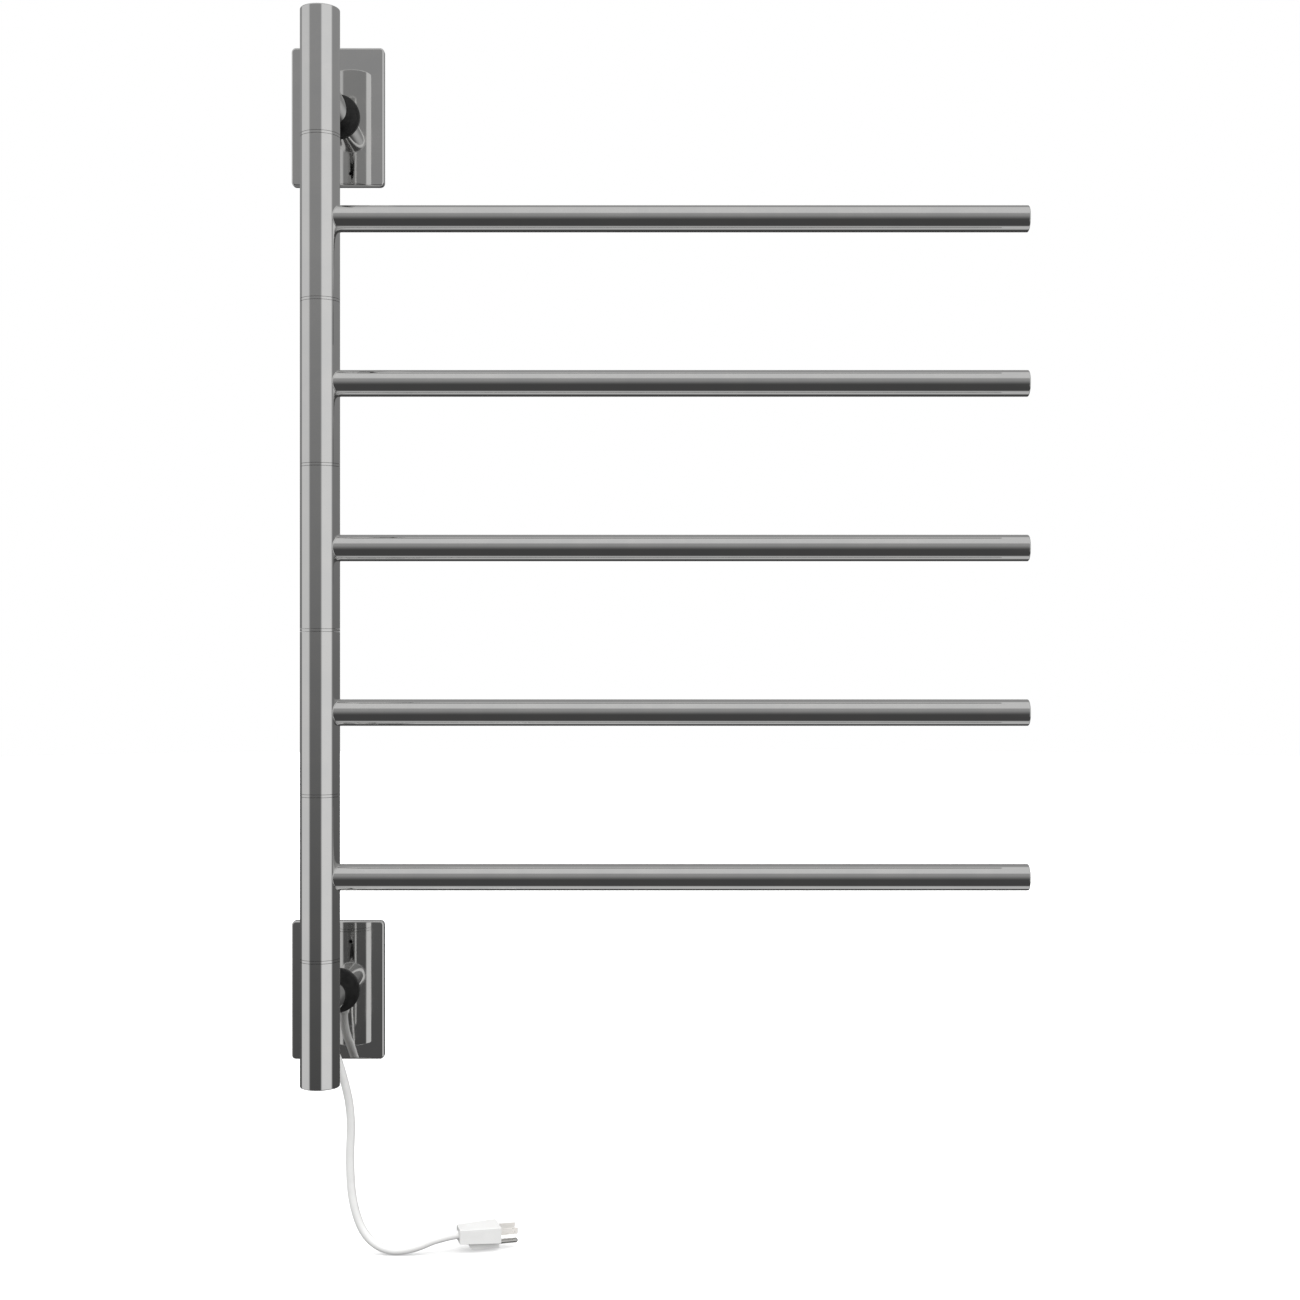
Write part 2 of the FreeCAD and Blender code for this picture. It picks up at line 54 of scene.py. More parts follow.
# ---- camera -------------------------------------------------------------
# A level view from the middle of the rack's width, a little below its middle
# arm and under two metres from the wall, with an ordinary 50 mm lens.
bpy.ops.object.camera_add(location=(0.3168, -1.8394, -0.0979), rotation=(math.pi / 2, 0, 0))
camera = bpy.context.object
camera.name = "studio_camera"
camera.data.lens = 50
camera.data.sensor_width = 36
scene.camera = camera

# ---- power cord ---------------------------------------------------------
# A short three-core lead in a round white vinyl jacket, extruded over its
# cores. It hangs from the strain relief and ends moulded into the plug.
CORD_R = 0.0042
CORD_ROUTE = [
    (0.0, -0.0440, -0.4733),
    (0.0, -0.0440, -0.4895),
    (0.0100, -0.0440, -0.5140),
    (0.0206, -0.0445, -0.5580),
    (0.0182, -0.0455, -0.6056),
    (0.0214, -0.0470, -0.6485),
    (0.0344, -0.0485, -0.6810),
    (0.0578, -0.0500, -0.6945),
    (0.0844, -0.0508, -0.6906),
    (0.1060, -0.0490, -0.6811),
    (0.1260, -0.0432, -0.6793),
]


def speckle_group():
    """Masks that every finish here shares: broad patches, a fine grain, and specks."""
    group = bpy.data.node_groups.new("surface_marks", "ShaderNodeTree")
    for label, kind, value in (
        ("Vector", "NodeSocketVector", None),
        ("Patch Scale", "NodeSocketFloat", 40.0),
        ("Grain Scale", "NodeSocketFloat", 900.0),
    ):
        socket = group.interface.new_socket(label, in_out="INPUT", socket_type=kind)
        if value is not None:
            socket.default_value = value
    for label in ("Patches", "Grain", "Specks"):
        group.interface.new_socket(label, in_out="OUTPUT", socket_type="NodeSocketFloat")
    make, link = group.nodes.new, group.links.new
    source, result = make("NodeGroupInput"), make("NodeGroupOutput")

    patches = make("ShaderNodeTexNoise")
    patches.inputs["Detail"].default_value = 4
    patches.inputs["Distortion"].default_value = 0.6
    spread = make("ShaderNodeMapRange")
    spread.inputs["From Min"].default_value = 0.35
    spread.inputs["From Max"].default_value = 0.68
    grain = make("ShaderNodeTexNoise")
    grain.inputs["Detail"].default_value = 2
    specks = make("ShaderNodeTexVoronoi")
    fleck = make("ShaderNodeMapRange")
    fleck.inputs["From Min"].default_value = 0.16
    fleck.inputs["From Max"].default_value = 0.05

    link(source.outputs["Vector"], patches.inputs["Vector"])
    link(source.outputs["Patch Scale"], patches.inputs["Scale"])
    link(patches.outputs["Fac"], spread.inputs["Value"])
    link(spread.outputs["Result"], result.inputs["Patches"])
    link(source.outputs["Vector"], grain.inputs["Vector"])
    link(source.outputs["Grain Scale"], grain.inputs["Scale"])
    link(grain.outputs["Fac"], result.inputs["Grain"])
    link(source.outputs["Vector"], specks.inputs["Vector"])
    link(source.outputs["Patch Scale"], specks.inputs["Scale"])
    link(specks.outputs["Distance"], fleck.inputs["Value"])
    link(fleck.outputs["Result"], result.inputs["Specks"])
    return group


surface_marks = speckle_group()


def finish(name, one, other, rough, metallic=0.0, patch=40.0, grain=900.0,
           relief=0.00002, strength=0.2, stretch=(1, 1, 1), relief_from="Grain", coat=0.0):
    """A finish whose colour and polish drift over the surface, with a fine relief."""
    material = bpy.data.materials.new(name)
    material.use_nodes = True
    make, link = material.node_tree.nodes.new, material.node_tree.links.new
    shader = material.node_tree.nodes["Principled BSDF"]
    shader.inputs["Metallic"].default_value = metallic
    shader.inputs["Coat Weight"].default_value = coat
    place = make("ShaderNodeTexCoord")
    turn = make("ShaderNodeMapping")
    turn.inputs["Scale"].default_value = stretch
    marks = make("ShaderNodeGroup")
    marks.node_tree = surface_marks
    marks.inputs["Patch Scale"].default_value = patch
    marks.inputs["Grain Scale"].default_value = grain
    colour = make("ShaderNodeMix")
    colour.data_type = "RGBA"
    colour.inputs["A"].default_value = (*one, 1)
    colour.inputs["B"].default_value = (*other, 1)
    polish = make("ShaderNodeMapRange")
    polish.inputs["To Min"].default_value = rough[0]
    polish.inputs["To Max"].default_value = rough[1]
    bump = make("ShaderNodeBump")
    bump.inputs["Strength"].default_value = strength
    bump.inputs["Distance"].default_value = relief
    link(place.outputs["Object"], turn.inputs["Vector"])
    link(turn.outputs["Vector"], marks.inputs["Vector"])
    link(marks.outputs["Patches"], colour.inputs["Factor"])
    link(colour.outputs["Result"], shader.inputs["Base Color"])
    link(marks.outputs["Patches"], polish.inputs["Value"])
    link(polish.outputs["Result"], shader.inputs["Roughness"])
    link(marks.outputs[relief_from], bump.inputs["Height"])
    link(bump.outputs["Normal"], shader.inputs["Normal"])
    return material


white_vinyl = finish("white_vinyl", (0.86, 0.86, 0.85), (0.90, 0.90, 0.89), (0.32, 0.44),
                     patch=55, grain=1400, relief=0.00004, strength=0.25)

line = bpy.data.curves.new("cord_jacket", "CURVE")
line.dimensions = "3D"
line.bevel_depth = CORD_R
line.bevel_resolution = 8
line.resolution_u = 20
line.use_fill_caps = True
run = line.splines.new("NURBS")
run.points.add(len(CORD_ROUTE) - 1)
for point, where in zip(run.points, CORD_ROUTE):
    point.co = (*where, 1)
run.order_u = 3
run.use_endpoint_u = True
cord = bpy.data.objects.new("cord_jacket", line)
scene.collection.objects.link(cord)
line.materials.append(white_vinyl)
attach(cord, "root")
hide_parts("power_cord")

# ---- plug moulding ------------------------------------------------------
# The plug's body is the same white vinyl moulded round the cord and pins: a
# block that widens to its face, over a keel for the earth pin, edges eased.
PLUG_LENGTH = 0.041
REAR_WIDTH, REAR_HEIGHT = 0.019, 0.0142
FACE_WIDTH, FACE_HEIGHT = 0.0275, 0.0158
KEEL_DROP = 0.0069
KEEL_WIDTH = 0.011
KEEL_START = 0.0104
KEEL_NOSE = 0.0055
PLUG_EDGE = 0.0005
PLUG_TURNS = (("Z", 17.5), ("Y", 0.7), ("X", 2.8))
plug_place = Matrix.Translation(CORD_ROUTE[-1])
for axis, degrees in PLUG_TURNS:
    plug_place = plug_place @ Matrix.Rotation(math.radians(degrees), 4, axis)


def only(piece):
    """Makes this the one selected object, and the active one."""
    bpy.ops.object.select_all(action="DESELECT")
    piece.select_set(True)
    bpy.context.view_layer.objects.active = piece


def use_modifier(piece, kind, **settings):
    """Adds a modifier with these settings and applies it."""
    only(piece)
    bpy.ops.object.modifier_add(type=kind)
    modifier = piece.modifiers[-1]
    for key, value in settings.items():
        setattr(modifier, key, value)
    bpy.ops.object.modifier_apply(modifier=modifier.name)


def cut(piece, cutter, operation="DIFFERENCE"):
    """Cuts one piece with another, or joins them into one skin, and removes the cutter."""
    use_modifier(piece, "BOOLEAN", operation=operation, object=cutter, solver="EXACT")
    bpy.data.objects.remove(cutter)


def block(name, low, high):
    """A box between two corners, as a start for a piece."""
    low, high = Vector(low), Vector(high)
    bpy.ops.object.select_all(action="DESELECT")
    bpy.ops.mesh.primitive_cube_add(size=1, location=(low + high) / 2, scale=high - low)
    bpy.ops.object.transform_apply()
    bpy.context.object.name = name
    return bpy.context.object


def rod(name, radius, start, end, sides=96, fill="NGON"):
    """A straight round bar between two points, as a start for a piece."""
    start, end = Vector(start), Vector(end)
    turn = (end - start).to_track_quat("Z", "Y").to_euler()
    bpy.ops.object.select_all(action="DESELECT")
    bpy.ops.mesh.primitive_cylinder_add(
        vertices=sides, radius=radius, depth=(end - start).length, end_fill_type=fill,
        location=(start + end) / 2, rotation=turn)
    bpy.ops.object.transform_apply()
    bpy.context.object.name = name
    return bpy.context.object


def ease(piece, wanted, width, segments=3):
    """Bevels every edge whose two ends pass the test."""
    only(piece)
    bpy.ops.object.mode_set(mode="EDIT")
    bpy.ops.mesh.select_mode(type="EDGE")
    bpy.ops.mesh.select_all(action="DESELECT")
    mesh = bmesh.from_edit_mesh(piece.data)
    for edge in mesh.edges:
        edge.select_set(all(wanted(vertex.co) for vertex in edge.verts))
    bmesh.update_edit_mesh(piece.data)
    bpy.ops.mesh.bevel(offset=width, segments=segments, profile=0.5)
    bpy.ops.object.mode_set(mode="OBJECT")


def shade(piece, degrees=35):
    """Smooths the round faces, and keeps large flat ones exactly flat."""
    only(piece)
    bpy.ops.object.shade_smooth_by_angle(angle=math.radians(degrees))
    use_modifier(piece, "WEIGHTED_NORMAL", keep_sharp=True, weight=80)


def put(piece, material, slot, body, *replaced):
    """Gives a finished piece its finish, its body, and the CAD nodes it stands for."""
    piece.data.materials.clear()
    piece.data.materials.append(material)
    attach(piece, body)
    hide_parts(*replaced)


plug = block("plug_moulding", (0, -FACE_WIDTH / 2, -FACE_HEIGHT / 2),
             (PLUG_LENGTH, FACE_WIDTH / 2, FACE_HEIGHT / 2))
bpy.ops.object.mode_set(mode="EDIT")
bpy.ops.mesh.select_mode(type="VERT")
bpy.ops.mesh.select_all(action="DESELECT")
mesh = bmesh.from_edit_mesh(plug.data)
for vertex in mesh.verts:
    vertex.select_set(vertex.co.x < PLUG_LENGTH / 2)
bmesh.update_edit_mesh(plug.data)
bpy.ops.transform.resize(value=(1, REAR_WIDTH / FACE_WIDTH, REAR_HEIGHT / FACE_HEIGHT),
                         center_override=(0, 0, 0))
bpy.ops.object.mode_set(mode="OBJECT")
keel_low = -FACE_HEIGHT / 2 - KEEL_DROP
keel = block("keel", (KEEL_START, -KEEL_WIDTH / 2, keel_low), (PLUG_LENGTH, KEEL_WIDTH / 2, 0))
ease(keel, lambda p: p.x < KEEL_START + 1e-5 and p.z < keel_low + 1e-5, KEEL_NOSE, 8)
cut(plug, keel, "UNION")
use_modifier(plug, "BEVEL", width=PLUG_EDGE, segments=4, limit_method="ANGLE",
             angle_limit=math.radians(40))
plug.data.transform(plug_place)
shade(plug)
put(plug, white_vinyl, "plug_vinyl", "root", "plug_body")

# ---- plug pins ----------------------------------------------------------
# Two flat blades and a round earth pin, cut from brass, nickel plated and
# moulded into the body. Their tips are eased so that they find the socket.
BLADE_SPACING = 0.0127
BLADE_WIDTHS = (0.00635, 0.0079)
BLADE_THICK = 0.0015
BLADE_TIP_EDGE = 0.00045
BLADE_SIDE_EDGE = 0.0001
BLADE_RISE = 0.0012
BLADE_LENGTH = 0.0182
EARTH_LENGTH = 0.0198
PIN_ROOT = 0.009
EARTH_DROP = 0.0119
EARTH_R = 0.00238
nickel = finish("plug_nickel", (0.97, 0.93, 0.88), (0.99, 0.97, 0.94), (0.24, 0.38),
                metallic=0.3, patch=160, grain=2500, relief=0.00001, stretch=(0.2, 1, 1))
# The earth pin has the same nickel plating as the blades, but its darker base colour is painted
# shade that stands in for its dark reflections.
pin_nickel_painted_dark = finish("earth_pin_nickel", (0.62, 0.61, 0.59), (0.70, 0.69, 0.67), (0.08, 0.16),
                    metallic=1.0, patch=160, grain=2500, relief=0.00001, stretch=(0.2, 1, 1))

blades = []
for side, width in zip((-1, 1), BLADE_WIDTHS):
    middle = side * BLADE_SPACING / 2
    tip = PLUG_LENGTH + BLADE_LENGTH
    flat = block("blade", (PLUG_LENGTH - PIN_ROOT, middle - BLADE_THICK / 2, BLADE_RISE - width / 2),
                 (tip, middle + BLADE_THICK / 2, BLADE_RISE + width / 2))
    ease(flat, lambda p: p.x > tip - 1e-6, BLADE_TIP_EDGE, 3)
    use_modifier(flat, "BEVEL", width=BLADE_SIDE_EDGE, segments=2, limit_method="ANGLE")
    blades.append(flat)
only(blades[0])
blades[1].select_set(True)
bpy.ops.object.join()
pair = blades[0]
pair.name = "plug_blade_pair"
pair.data.transform(plug_place)
shade(pair)
put(pair, nickel, "plug_metal", "root", "plug_blades")

earth_z = BLADE_RISE - EARTH_DROP
earth_tip = PLUG_LENGTH + EARTH_LENGTH
earth = rod("plug_earth_pin", EARTH_R, (PLUG_LENGTH - PIN_ROOT, 0, earth_z),
            (earth_tip, 0, earth_z), 48)
ease(earth, lambda p: p.x > earth_tip - 1e-6, EARTH_R * 0.96, 8)
earth.data.transform(plug_place)
shade(earth, 60)
put(earth, pin_nickel_painted_dark, "plug_metal", "root", "plug_ground_pin")

# ---- upright post: fixed ends -------------------------------------------
# The two ends of the post are polished chromed steel tube, rounded at the
# outer rim, each drilled at the back for its set screw and its wires.
POST_R = 0.019
POST_Y = -0.106
POST_HALF = 0.517
TUBE_WALL = 0.0015
FIXED_START = 0.3965
SEAM_EDGE = 0.00005
RIM_EDGE = 0.0012
SCREW_Z = 0.4065
SCREW_HOLE_R = 0.0021
WIRE_HOLE_R = 0.009
BEHIND_POST = 0.022
BRACKET_Z = 0.443
ROUND_SIDES = 160
chrome = finish("polished_chrome", (0.80, 0.80, 0.795), (0.83, 0.825, 0.815), (0.015, 0.05),
                metallic=1.0, patch=38, grain=260, relief=0.000004, strength=0.35)


def pipe(name, outer, wall, start, end, sides=ROUND_SIDES):
    """A straight tube between two points, with square ends."""
    skin = rod(name, outer, start, end, sides, "NOTHING")
    use_modifier(skin, "SOLIDIFY", thickness=wall, offset=-1)
    return skin


def on_axis(z):
    """The point on the post's axis at this height."""
    return Vector((0, POST_Y, z))


def from_axis(p):
    """How far a point lies from the post's axis."""
    return math.hypot(p.x, p.y - POST_Y)


def loop_at(piece, *heights):
    """Adds a ring of edges at each height, so that a drilled hole stays in its own band."""
    only(piece)
    bpy.ops.object.mode_set(mode="EDIT")
    for height in heights:
        bpy.ops.mesh.select_all(action="SELECT")
        bpy.ops.mesh.bisect(plane_co=(0, 0, height), plane_no=(0, 0, 1))
    bpy.ops.mesh.select_all(action="DESELECT")
    bpy.ops.object.mode_set(mode="OBJECT")


def drill(piece, radius, start, end):
    """Bores a round hole through a wall."""
    cut(piece, rod("drill", radius, start, end, 48))


for side, sign in (("lower", -1), ("upper", 1)):
    tip_z, seam_z = sign * POST_HALF, sign * FIXED_START
    end = pipe(side + "_post_end", POST_R, TUBE_WALL, on_axis(seam_z), on_axis(tip_z))
    ease(end, lambda p: abs(p.z - tip_z) < 1e-5 and from_axis(p) > POST_R - 1e-5, RIM_EDGE, 6)
    ease(end, lambda p: abs(p.z - seam_z) < 1e-5 and from_axis(p) > POST_R - 1e-5, SEAM_EDGE, 2)
    loop_at(end, sign * 0.403, sign * 0.410, sign * 0.432, sign * 0.454)
    for radius, height in ((SCREW_HOLE_R, sign * SCREW_Z), (WIRE_HOLE_R, sign * BRACKET_Z)):
        drill(end, radius, on_axis(height), (0, POST_Y + BEHIND_POST, height))
    shade(end)
    put(end, chrome, "polished_chrome", "root", side + "_post_tube")

# ---- end caps of the post -----------------------------------------------
# A slightly crowned chromed disc is pressed into each end of the post, and
# only a fine seam round it shows.
CAP_THICK = 0.003
CAP_GAP = 0.0001


def crowned_disc(name, radius, back, front):
    """A pressed cap: a short disc, eased at its rim and crowned by three low steps."""
    out = (Vector(front) - Vector(back)).normalized()
    cap = rod(name, radius, back, Vector(front) - out * 0.00035, 128)
    only(cap)
    bpy.ops.object.mode_set(mode="EDIT")
    bpy.ops.mesh.select_mode(type="FACE")
    bpy.ops.mesh.select_all(action="DESELECT")
    mesh = bmesh.from_edit_mesh(cap.data)
    for face in mesh.faces:
        face.select_set(face.normal.dot(out) > 0.9)
    bmesh.update_edit_mesh(cap.data)
    bpy.ops.mesh.inset(thickness=0.0003, depth=0.00012)
    for depth in (0.00010, 0.00007, 0.00004):
        bpy.ops.mesh.inset(thickness=radius * 0.26, depth=depth)
    bpy.ops.object.mode_set(mode="OBJECT")
    return cap


for side, sign in (("lower", -1), ("upper", 1)):
    cap = crowned_disc(side + "_crown", POST_R - TUBE_WALL - CAP_GAP,
                       on_axis(sign * (POST_HALF - CAP_THICK)), on_axis(sign * POST_HALF))
    shade(cap)
    put(cap, chrome, "polished_chrome", "root", side + "_post_cap")

# ---- spacer rings -------------------------------------------------------
# Six thin chromed rings part the post's segments and carry the sleeves above
# them. Each leaves a hairline gap above and below.
ARM_PITCH = 0.158
RING_HEIGHT = 0.0024
CORE_R = 0.0127


def copy_to(piece, name, rise):
    """A copy with its own mesh, this much higher."""
    only(piece)
    bpy.ops.object.duplicate()
    twin = bpy.context.object
    twin.name = name
    twin.data.transform(Matrix.Translation((0, 0, rise)))
    return twin


first_z = -2.5 * ARM_PITCH
ring = pipe("post_seam_ring_1", POST_R, POST_R - CORE_R,
            on_axis(first_z - RING_HEIGHT / 2), on_axis(first_z + RING_HEIGHT / 2))
ease(ring, lambda p: from_axis(p) > POST_R - 1e-5
     and abs(abs(p.z - first_z) - RING_HEIGHT / 2) < 1e-5, SEAM_EDGE, 2)
shade(ring)
rings = [ring] + [copy_to(ring, "post_seam_ring_%d" % (i + 1), i * ARM_PITCH)
                  for i in range(1, 6)]
for number, ring in enumerate(rings, 1):
    put(ring, chrome, "polished_chrome", "root", "spacer_ring_%d" % number)

# ---- swivel sleeves -----------------------------------------------------
# Each arm turns on its own length of the post: a chromed tube, drilled at the
# side where the arm's wires pass into the bar.
HAIRLINE = 0.0003
SLEEVE_HALF = (ARM_PITCH - RING_HEIGHT - 2 * HAIRLINE) / 2
LEAD_HOLE_R = 0.006
middle_sleeve = pipe("arm_3_turning_sleeve", POST_R, TUBE_WALL,
                     on_axis(-SLEEVE_HALF), on_axis(SLEEVE_HALF))
ease(middle_sleeve, lambda p: from_axis(p) > POST_R - 1e-5
     and abs(abs(p.z) - SLEEVE_HALF) < 1e-5, SEAM_EDGE, 2)
loop_at(middle_sleeve, -0.009, 0.009)
drill(middle_sleeve, LEAD_HOLE_R, on_axis(0), (0.022, POST_Y, 0))
shade(middle_sleeve)

# ---- heated bars --------------------------------------------------------
# Each bar is a chromed tube, cut to the sleeve's curve at its root and welded
# on. The weld is ground and polished down to a thin bead.
BAR_R = 0.0127
ARM_REACH = 0.680
BAR_ROOT = 0.006
BAR_EDGE = 0.001
BEAD_R = 0.0005


def weld_bead(name, radius, along):
    """The polished bead where a tube of this radius meets the post, along X or Y."""
    bead = bpy.data.curves.new(name, "CURVE")
    bead.dimensions = "3D"
    bead.bevel_depth = BEAD_R
    bead.bevel_resolution = 3
    loop = bead.splines.new("POLY")
    loop.points.add(ROUND_SIDES - 1)
    for i, point in enumerate(loop.points):
        turn = 2 * math.pi * i / ROUND_SIDES
        across, up = radius * math.sin(turn), radius * math.cos(turn)
        out = math.sqrt(POST_R ** 2 - across ** 2)
        x, y = (out, across) if along == "X" else (across, out)
        point.co = (x, POST_Y + y, up, 1)
    loop.use_cyclic_u = True
    piece = bpy.data.objects.new(name, bead)
    scene.collection.objects.link(piece)
    only(piece)
    bpy.ops.object.convert(target="MESH")
    return bpy.context.object


def join(piece, other):
    """Joins a second mesh into the piece."""
    only(piece)
    other.select_set(True)
    bpy.ops.object.join()


middle_bar = pipe("arm_3_towel_bar", BAR_R, TUBE_WALL,
                  (BAR_ROOT, POST_Y, 0), (ARM_REACH, POST_Y, 0))
ease(middle_bar, lambda p: p.x > ARM_REACH - 1e-5
     and math.hypot(p.y - POST_Y, p.z) > BAR_R - 1e-5, BAR_EDGE, 5)
cut(middle_bar, rod("saddle", POST_R, on_axis(-0.03), on_axis(0.03), ROUND_SIDES))
shade(middle_bar)
bead = weld_bead("bar_weld", BAR_R, "X")
shade(bead, 180)
join(middle_bar, bead)

middle_cap = crowned_disc("arm_3_bar_crown", BAR_R - TUBE_WALL - CAP_GAP,
                          (ARM_REACH - CAP_THICK, POST_Y, 0), (ARM_REACH, POST_Y, 0))
shade(middle_cap)
for number in (1, 2, 4, 5, 3):
    arm = "arm_%d" % number
    rise = (number - 3) * ARM_PITCH
    for start, name, node in ((middle_sleeve, "_turning_sleeve", "_sleeve"),
                              (middle_bar, "_towel_bar", "_bar"),
                              (middle_cap, "_bar_crown", "_end_cap")):
        piece = copy_to(start, arm + name, rise) if number != 3 else start
        put(piece, chrome, "polished_chrome", arm, arm + node)

# ---- wall brackets: cover plates ----------------------------------------
# A flat box pressed from thin sheet and chromed hides each base plate. Its
# front is a plain mirror with rounded edges, pierced for the stub.
PLATE_W = 0.094
PLATE_H = 0.1406
PLATE_DEPTH = 0.0075
PLATE_SHEET = 0.0018
PLATE_CORNER_R = 0.0045
PLATE_EDGE = 0.002
STUB_R = 0.0143
STUB_GAP = 0.0003
sheet_chrome = finish("sheet_chrome", (0.80, 0.80, 0.795), (0.83, 0.825, 0.815), (0.02, 0.06),
                      metallic=1.0, patch=30, grain=45, relief=0.00003, strength=0.25)
for side, sign in (("lower", -1), ("upper", 1)):
    z = sign * BRACKET_Z
    plate = block(side + "_mirror_plate", (-PLATE_W / 2, -PLATE_DEPTH, z - PLATE_H / 2),
                  (PLATE_W / 2, 0, z + PLATE_H / 2))
    only(plate)
    bpy.ops.object.mode_set(mode="EDIT")
    bpy.ops.mesh.select_mode(type="EDGE")
    bpy.ops.mesh.select_all(action="DESELECT")
    mesh = bmesh.from_edit_mesh(plate.data)
    for edge in mesh.edges:
        edge.select_set(abs(edge.verts[0].co.y - edge.verts[1].co.y) > 0.001)
    bmesh.update_edit_mesh(plate.data)
    bpy.ops.mesh.bevel(offset=PLATE_CORNER_R, segments=10, profile=0.5)
    bpy.ops.object.mode_set(mode="OBJECT")
    ease(plate, lambda p: p.y < -PLATE_DEPTH + 1e-5, PLATE_EDGE, 7)
    only(plate)
    bpy.ops.object.mode_set(mode="EDIT")
    bpy.ops.mesh.select_mode(type="FACE")
    bpy.ops.mesh.select_all(action="DESELECT")
    mesh = bmesh.from_edit_mesh(plate.data)
    for face in mesh.faces:
        face.select_set(face.normal.y > 0.9)
    bmesh.update_edit_mesh(plate.data)
    bpy.ops.mesh.delete(type="FACE")
    bpy.ops.object.mode_set(mode="OBJECT")
    use_modifier(plate, "SOLIDIFY", thickness=PLATE_SHEET, offset=-1)
    drill(plate, STUB_R + STUB_GAP, (0, 0.01, z), (0, -0.02, z))
    shade(plate)
    put(plate, sheet_chrome, "polished_chrome", "root", side + "_cover_plate")

# ---- wall brackets: rubber rings ----------------------------------------
# A moulded black rubber ring grips each stub where it leaves the plate. Its
# outer edge is well rounded.
GASKET_R = 0.0225
GASKET_THICK = 0.0035
GASKET_EDGE = 0.0015
rubber = finish("black_rubber", (0.010, 0.010, 0.010), (0.018, 0.018, 0.018), (0.42, 0.60),
                patch=90, grain=2600, relief=0.00008, strength=0.5)
rubber.node_tree.nodes["Principled BSDF"].inputs["Specular IOR Level"].default_value = 0.25
for side, sign in (("lower", -1), ("upper", 1)):
    z = sign * BRACKET_Z
    front = -PLATE_DEPTH - GASKET_THICK
    grip = pipe(side + "_rubber_ring", GASKET_R, GASKET_R - STUB_R,
                (0, -PLATE_DEPTH, z), (0, front, z), 128)
    ease(grip, lambda p: p.y < front + 1e-5 and math.hypot(p.x, p.z - z) > STUB_R + 0.001,
         GASKET_EDGE, 6)
    shade(grip)
    put(grip, rubber, "black_rubber", "root", side + "_gasket")

# ---- wall brackets: stubs -----------------------------------------------
# A chromed tube runs from each base plate to the back of the post and is
# welded to it. A set screw holds it on the base; the lower one lets the cord out.
STUB_SCREW_Y = -PLATE_DEPTH - GASKET_THICK - 0.008
CORD_Y = CORD_ROUTE[0][1]
RELIEF_HOLE_R = 0.0059
for side, sign in (("lower", -1), ("upper", 1)):
    z = sign * BRACKET_Z
    stub = pipe(side + "_stand_off", STUB_R, TUBE_WALL, (0, -0.004, z), (0, POST_Y + 0.012, z))
    cut(stub, rod("saddle", POST_R, on_axis(z - 0.03), on_axis(z + 0.03), ROUND_SIDES))
    only(stub)
    bpy.ops.object.mode_set(mode="EDIT")
    for y in (STUB_SCREW_Y - 0.004, STUB_SCREW_Y + 0.004, CORD_Y - 0.008, CORD_Y + 0.008):
        bpy.ops.mesh.select_all(action="SELECT")
        bpy.ops.mesh.bisect(plane_co=(0, y, 0), plane_no=(0, 1, 0))
    bpy.ops.mesh.select_all(action="DESELECT")
    bpy.ops.object.mode_set(mode="OBJECT")
    drill(stub, SCREW_HOLE_R, (0, STUB_SCREW_Y, z), (-0.018, STUB_SCREW_Y, z))
    if sign < 0:
        drill(stub, RELIEF_HOLE_R, (0, CORD_Y, z), (0, CORD_Y, z - 0.018))
    shade(stub)
    bead = weld_bead("stub_weld", STUB_R, "Y")
    bead.data.transform(Matrix.Translation((0, 0, z)))
    shade(bead, 180)
    join(stub, bead)
    put(stub, chrome, "polished_chrome", "root", side + "_stub")

# ---- strain relief ------------------------------------------------------
# A white vinyl bush snaps into the underside of the lower stub. A flange
# seats it, and it tapers down to the cord.
RELIEF_TIP_R = 0.0054
RELIEF_EDGE = 0.0006
seat_z = -BRACKET_Z - STUB_R
tip_z = CORD_ROUTE[0][2]
relief = rod("cord_bush", RELIEF_TIP_R, (0, CORD_Y, tip_z), (0, CORD_Y, tip_z + 0.0005), 96)
only(relief)
bpy.ops.object.mode_set(mode="EDIT")
bpy.ops.mesh.select_mode(type="FACE")
bpy.ops.mesh.select_all(action="DESELECT")
mesh = bmesh.from_edit_mesh(relief.data)
for face in mesh.faces:
    face.select_set(face.normal.z > 0.9)
bmesh.update_edit_mesh(relief.data)
for rise, widen in ((0.0045, 1.07), (0.0045, 1.065), (0.0044, 1.06), (0.0001, 1.13),
                    (0.0050, 1.0)):
    bpy.ops.mesh.extrude_region_move(TRANSFORM_OT_translate={"value": (0, 0, rise)})
    bpy.ops.transform.resize(value=(widen, widen, 1))
bpy.ops.object.mode_set(mode="OBJECT")
cut(relief, rod("stub_curve", STUB_R, (0, CORD_Y - 0.03, -BRACKET_Z),
                (0, CORD_Y + 0.03, -BRACKET_Z), ROUND_SIDES))
cut(relief, rod("neck", RELIEF_HOLE_R - 0.0001, (0, CORD_Y, seat_z - 0.001),
                (0, CORD_Y, seat_z + 0.007), 96), "UNION")
ease(relief, lambda p: p.z < tip_z + 1e-5, RELIEF_EDGE, 4)
shade(relief)
put(relief, white_vinyl, "white_vinyl", "root", "cord_strain_relief")

# ---- base plates --------------------------------------------------------
# Behind each cover a zinc-plated steel plate is screwed to the wall, and the
# stub slides on its spigot.
zinc = finish("zinc_plate", (0.50, 0.51, 0.53), (0.68, 0.68, 0.66), (0.28, 0.50), metallic=1.0,
              patch=120, grain=1600, relief=0.00003, strength=0.3)


def refinish(material, *names):
    """Gives carried-over CAD nodes their finish."""
    for name in names:
        for slot in nodes[name].material_slots:
            slot.material = material


refinish(zinc, "lower_base_plate", "upper_base_plate", "core_collars")

